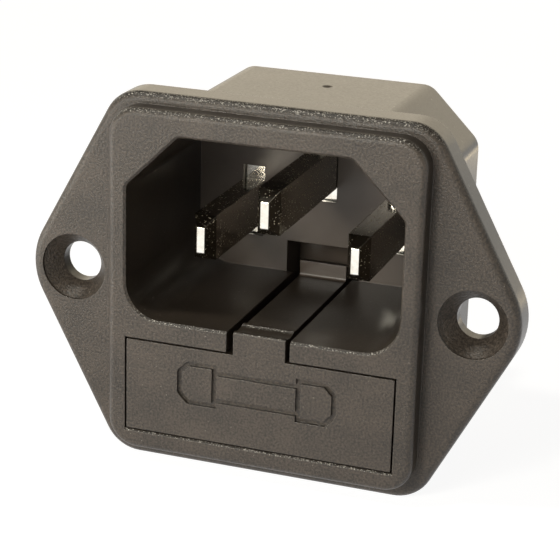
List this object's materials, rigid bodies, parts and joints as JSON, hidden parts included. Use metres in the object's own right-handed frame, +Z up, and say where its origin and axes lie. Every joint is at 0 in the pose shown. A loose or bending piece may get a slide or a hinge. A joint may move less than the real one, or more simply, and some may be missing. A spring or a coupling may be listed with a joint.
{
  "type": "fused panel power inlet socket",
  "caption": "Panel-mount power inlet with a chamfered plug cavity, flat contact blades, a screw flange and a sliding fuse drawer under the cavity.",
  "frame": {"origin": "midway between the two flange screws, on the flange's rear face that lies on the panel", "axes": "+X right along the screws as seen from the plug side, +Y into the panel, +Z up towards the earth blade"},
  "size_m": [0.044, 0.0306, 0.0331],
  "materials": {
    "housing_plastic": "fine spark-eroded matte",
    "drawer_plastic": "fine spark-eroded matte",
    "blade_plating": "bright nickel plating",
    "clip_metal": "tinned sheet",
    "fuse_cap_metal": "nickel plating",
    "fuse_glass": "clear",
    "fuse_wire": "drawn wire"
  },
  "bodies": {
    "inlet": {"housing": "housing_plastic", "line_blade": "blade_plating", "neutral_blade": "blade_plating", "earth_blade": "blade_plating", "fuse_feed_clip": "clip_metal", "fuse_load_clip": "clip_metal"},
    "drawer": {"fuse_drawer": "drawer_plastic", "active_fuse_glass": "fuse_glass", "active_fuse_wire": "fuse_wire", "active_fuse_cap_left": "fuse_cap_metal", "active_fuse_cap_right": "fuse_cap_metal", "spare_fuse_glass": "fuse_glass", "spare_fuse_wire": "fuse_wire", "spare_fuse_cap_left": "fuse_cap_metal", "spare_fuse_cap_right": "fuse_cap_metal"}
  },
  "joints": [
    {"name": "drawer_slide", "type": "slide", "parent": "inlet", "child": "drawer", "axis": [0, -1, 0], "range_m": [0, 0.018]}
  ]
}
